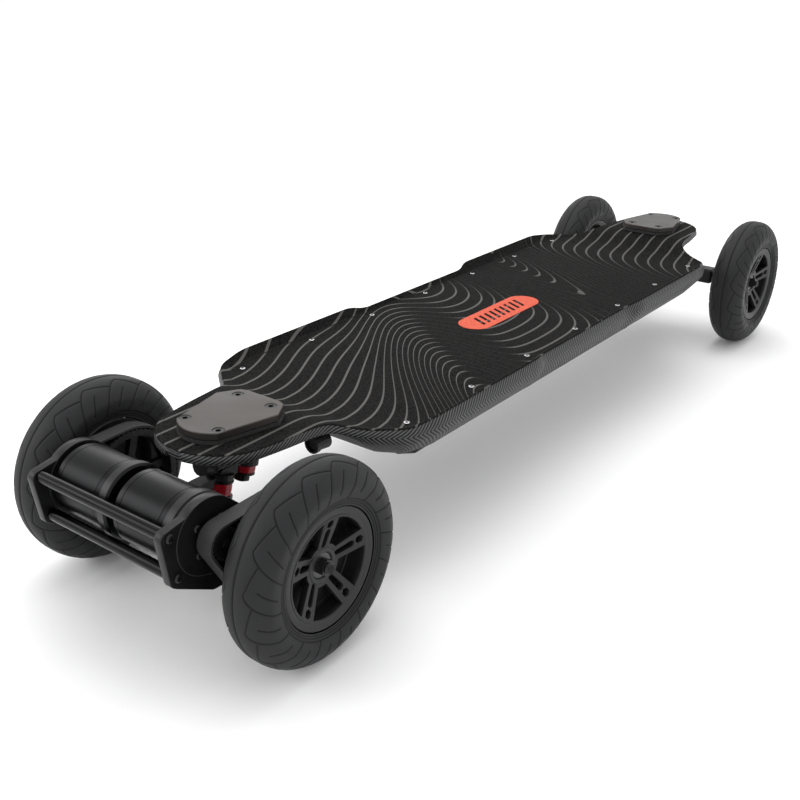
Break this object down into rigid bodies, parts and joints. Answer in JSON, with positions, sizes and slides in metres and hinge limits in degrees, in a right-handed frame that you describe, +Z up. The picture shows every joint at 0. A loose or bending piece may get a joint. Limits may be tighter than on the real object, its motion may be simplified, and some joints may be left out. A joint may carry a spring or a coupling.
{
  "type": "electric skateboard",
  "caption": "Long electric skateboard with a waisted composite deck, sprung kingpin trucks, belt-driven rear wheels and wide air-filled tyres.",
  "frame": {"origin": "On the floor, under the middle of the whole board: tyres stand on z = 0.", "axes": "+X points forward, from the driven axle with the motors to the free axle; +Y points to the board's left; +Z is up."},
  "size_m": [1.1325, 0.3088, 0.175],
  "materials": {
    "deck_composite": "fibre composite, satin, woven band round the edge",
    "grip": "matte grained rubber grip with raised contour lines",
    "seal": "matte black rubber",
    "black_plastic": "moulded, fine texture",
    "cell_wrap": null,
    "circuit_board": "green solder mask",
    "plate_metal": "bead-blasted, anodised grey",
    "black_metal": "cast, satin black coat",
    "black_steel": "satin black",
    "steel": "bright, brushed",
    "bushing_red": "cast urethane, glossy, slightly translucent",
    "belt_rubber": "matte black rubber",
    "tyre_rubber": "matte grey-black rubber with a cut tread",
    "rim_metal": "satin black cast alloy"
  },
  "bodies": {
    "deck": {"deck_shell": "deck_composite", "grip_sheet": "grip", "cover_gasket": "seal", "enclosure_cover": "black_plastic", "battery_pack": "cell_wrap", "battery_management_board": "circuit_board", "motor_controller": "plate_metal", "charge_socket": "black_plastic", "left_tail_lamp": "black_plastic", "right_tail_lamp": "black_plastic", "rear_plate_gasket": "seal", "front_plate_gasket": "seal", "rear_top_plate": "plate_metal", "front_top_plate": "plate_metal", "rear_baseplate": "black_metal", "front_baseplate": "black_metal", "rear_inner_kingpin": "black_steel", "front_inner_kingpin": "black_steel", "rear_inner_bushing": "bushing_red", "front_inner_bushing": "bushing_red"},
    "rear_link": {"rear_mid_link": "black_metal", "rear_outer_kingpin": "black_steel", "rear_outer_bushing": "bushing_red"},
    "front_link": {"front_mid_link": "black_metal", "front_outer_kingpin": "black_steel", "front_outer_bushing": "bushing_red"},
    "rear_truck": {"rear_hanger": "black_metal", "left_motor_mount": "black_metal", "right_motor_mount": "black_metal", "left_motor": "black_steel", "right_motor": "black_steel", "upper_guard_tube": "steel", "lower_guard_tube": "steel", "left_belt": "belt_rubber", "right_belt": "belt_rubber", "rear_left_axle_nut": "black_steel", "rear_right_axle_nut": "black_steel"},
    "front_truck": {"front_hanger": "black_metal", "front_left_axle_nut": "black_steel", "front_right_axle_nut": "black_steel"},
    "left_drive": {"left_drive_pulley": "black_steel"},
    "right_drive": {"right_drive_pulley": "black_steel"},
    "cap": {"charge_cap": "belt_rubber"},
    "button": {"power_button": "steel"},
    "rear_left_wheel": {"rear_left_tyre": "tyre_rubber", "rear_left_rim": "rim_metal", "rear_left_bearing": "steel", "left_wheel_pulley": "black_metal"},
    "rear_right_wheel": {"rear_right_tyre": "tyre_rubber", "rear_right_rim": "rim_metal", "rear_right_bearing": "steel", "right_wheel_pulley": "black_metal"},
    "front_left_wheel": {"front_left_tyre": "tyre_rubber", "front_left_rim": "rim_metal", "front_left_bearing": "steel"},
    "front_right_wheel": {"front_right_tyre": "tyre_rubber", "front_right_rim": "rim_metal", "front_right_bearing": "steel"}
  },
  "joints": [
    {"name": "rear_link_tilt", "type": "hinge", "parent": "deck", "child": "rear_link", "pos_m": [-0.40338, 0, 0.11404], "axis": [-0.9613, 0, 0.2756], "range_deg": [-8, 8], "stiffness_Nm_per_rad": 60, "deforming": ["rear_inner_bushing"]},
    {"name": "rear_truck_tilt", "type": "hinge", "parent": "rear_link", "child": "rear_truck", "pos_m": [-0.43935, 0, 0.09098], "axis": [-0.9613, 0, 0.2756], "range_deg": [-8, 8], "stiffness_Nm_per_rad": 60, "deforming": ["rear_outer_bushing"]},
    {"name": "rear_left_wheel_spin", "type": "hinge", "parent": "rear_truck", "child": "rear_left_wheel", "pos_m": [-0.45925, 0.1304, 0.0875], "axis": [0, 1, 0], "continuous": true},
    {"name": "rear_right_wheel_spin", "type": "hinge", "parent": "rear_truck", "child": "rear_right_wheel", "pos_m": [-0.45925, -0.1304, 0.0875], "axis": [0, 1, 0], "continuous": true},
    {"name": "front_link_tilt", "type": "hinge", "parent": "deck", "child": "front_link", "pos_m": [0.42288, 0, 0.11404], "axis": [0.9613, 0, 0.2756], "range_deg": [-8, 8], "stiffness_Nm_per_rad": 60, "deforming": ["front_inner_bushing"]},
    {"name": "front_truck_tilt", "type": "hinge", "parent": "front_link", "child": "front_truck", "pos_m": [0.45885, 0, 0.09098], "axis": [0.9613, 0, 0.2756], "range_deg": [-8, 8], "stiffness_Nm_per_rad": 60, "deforming": ["front_outer_bushing"]},
    {"name": "front_left_wheel_spin", "type": "hinge", "parent": "front_truck", "child": "front_left_wheel", "pos_m": [0.47875, 0.1304, 0.0875], "axis": [0, 1, 0], "continuous": true},
    {"name": "front_right_wheel_spin", "type": "hinge", "parent": "front_truck", "child": "front_right_wheel", "pos_m": [0.47875, -0.1304, 0.0875], "axis": [0, 1, 0], "continuous": true},
    {"name": "left_drive_spin", "type": "hinge", "parent": "rear_truck", "child": "left_drive", "pos_m": [-0.52015, 0.085, 0.1216], "axis": [0, 1, 0], "continuous": true},
    {"name": "right_drive_spin", "type": "hinge", "parent": "rear_truck", "child": "right_drive", "pos_m": [-0.52015, -0.085, 0.1216], "axis": [0, 1, 0], "continuous": true},
    {"name": "charge_cap_hinge", "type": "hinge", "parent": "deck", "child": "cap", "pos_m": [-0.24625, 0.1148, 0.118], "axis": [-1, 0, 0], "range_deg": [0, 110]},
    {"name": "power_button_press", "type": "slide", "parent": "deck", "child": "button", "axis": [0, -1, 0], "range_m": [0, 0.0015], "stiffness_N_per_m": 300, "springref_m": -0.001}
  ],
  "couplings": [
    {"joint": "left_drive_spin", "follows": "rear_left_wheel_spin", "ratio": 3.5},
    {"joint": "right_drive_spin", "follows": "rear_right_wheel_spin", "ratio": 3.5}
  ]
}
